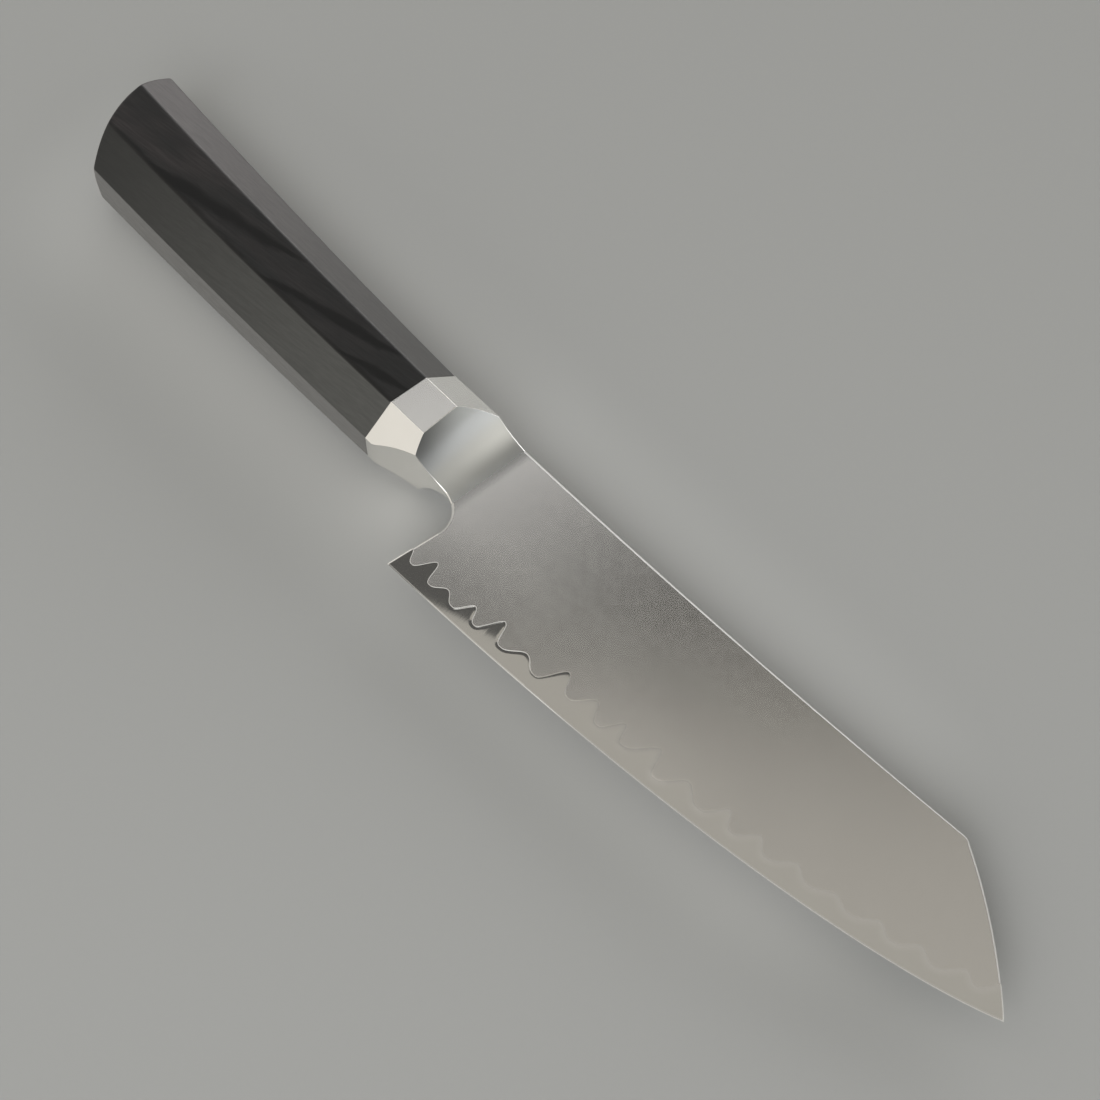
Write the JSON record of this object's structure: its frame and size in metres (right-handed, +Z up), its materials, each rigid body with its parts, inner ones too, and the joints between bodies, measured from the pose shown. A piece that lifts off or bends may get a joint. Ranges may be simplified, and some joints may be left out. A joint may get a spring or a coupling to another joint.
{
  "type": "ko-bunka kitchen knife",
  "caption": "Small bunka kitchen knife with a clad steel blade, wavy core line, scooped faceted bolster and an eight-sided black wood handle.",
  "frame": {"origin": "on the handle's lower side facet, half way along the handle, where the knife rests when it lies on its left side", "axes": "+X along the knife to the tip, +Y to the spine, +Z up, out of the blade's right face"},
  "size_m": [0.2819, 0.0449, 0.023],
  "materials": {
    "black_wood": "satin",
    "resin": "matte",
    "tang_steel": "matte",
    "bolster_steel": "satin",
    "polished_steel": "gloss",
    "matte_steel": "satin"
  },
  "bodies": {
    "root": {"handle": "black_wood", "tang_adhesive": "resin", "tang": "tang_steel", "bolster": "bolster_steel", "blade_core": "polished_steel", "blade_cladding_right": "matte_steel", "blade_cladding_left": "matte_steel"}
  },
  "joints": []
}
